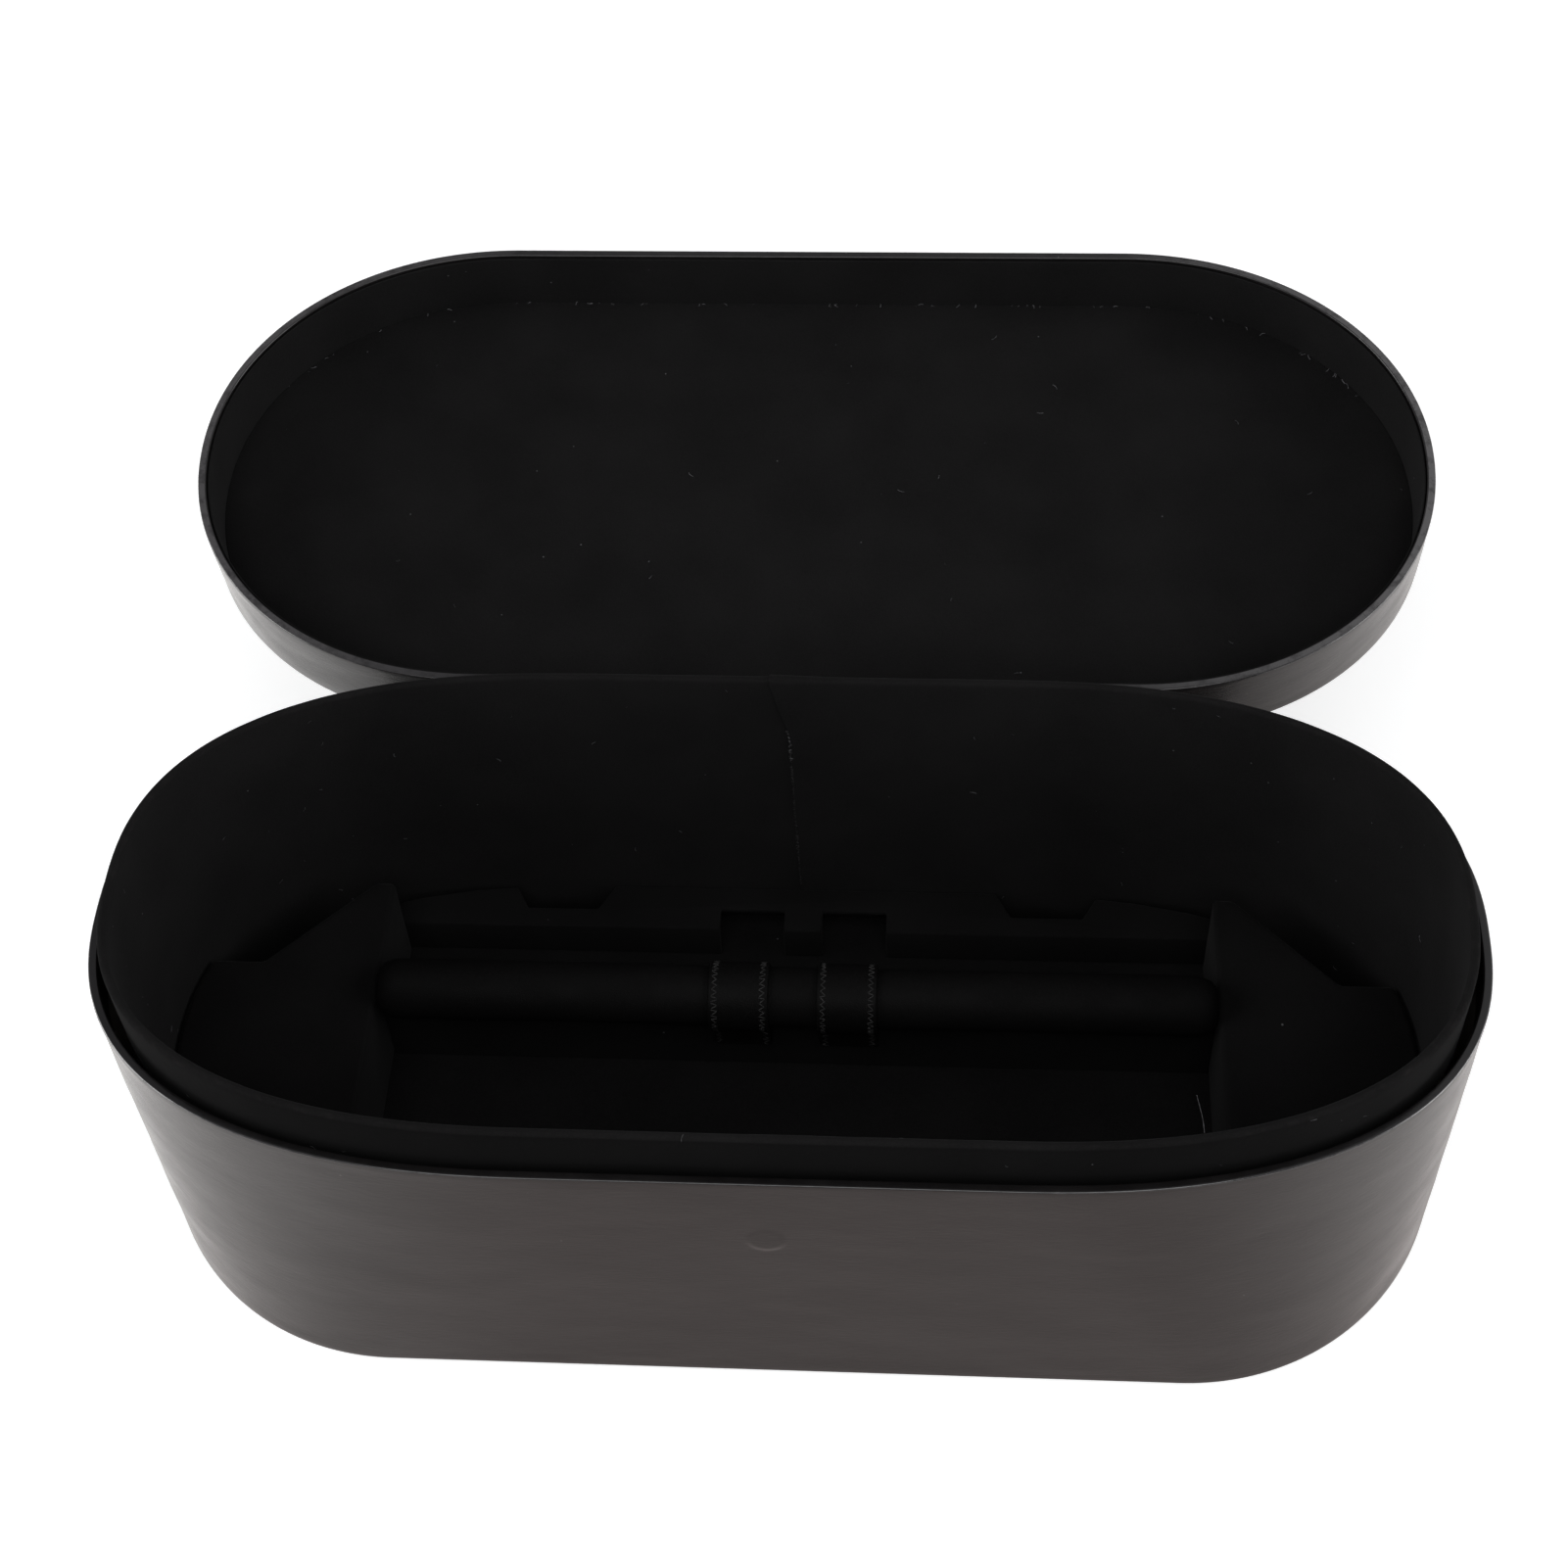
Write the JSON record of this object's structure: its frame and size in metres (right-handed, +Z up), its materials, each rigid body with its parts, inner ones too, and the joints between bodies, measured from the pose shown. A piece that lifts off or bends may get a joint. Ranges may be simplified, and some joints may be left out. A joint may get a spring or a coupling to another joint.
{
  "type": "hair tool storage box",
  "caption": "Stadium-shaped board box in smooth dark leathercloth, felt-lined, with a hinged lid over a raised neck and a lift-out insert with a padded divider.",
  "frame": {"origin": "on the flat face that the box stands on, under the middle of the body", "axes": "+X along the box, to the right seen from the front; +Y to the back, where the lid is hinged; +Z up"},
  "size_m": [0.38, 0.332, 0.1325],
  "materials": {
    "leathercloth": "satin",
    "board": "matte",
    "felt": "matte",
    "felt_board": "matte",
    "roll_leather": "satin"
  },
  "bodies": {
    "body": {"bottom_cover": "leathercloth", "bottom_board": "board", "base_wall_board": "board", "base_wall_cover": "leathercloth", "neck_board": "board", "neck_lining": "felt", "floor_lining": "felt", "hinge_leaf_base": "leathercloth"},
    "lid": {"lid_top_cover": "leathercloth", "lid_top_board": "board", "lid_wall_board": "board", "lid_wall_cover": "leathercloth", "lid_wall_lining": "felt", "lid_ceiling_panel": "felt", "hinge_leaf_lid": "leathercloth"},
    "insert": {"insert_floor": "felt_board", "end_block_left": "felt_board", "end_block_right": "felt_board", "back_ledge": "felt_board", "divider_board": "felt_board", "divider_roll": "roll_leather", "strap_left": "roll_leather", "strap_right": "roll_leather"}
  },
  "joints": [
    {"name": "lid_hinge", "type": "hinge", "parent": "body", "child": "lid", "pos_m": [0, 0.08295, 0.107], "axis": [1, 0, 0], "range_deg": [0, 171]},
    {"name": "insert_lift", "type": "slide", "parent": "body", "child": "insert", "axis": [0, 0, 1], "range_m": [0, 0.07]}
  ]
}
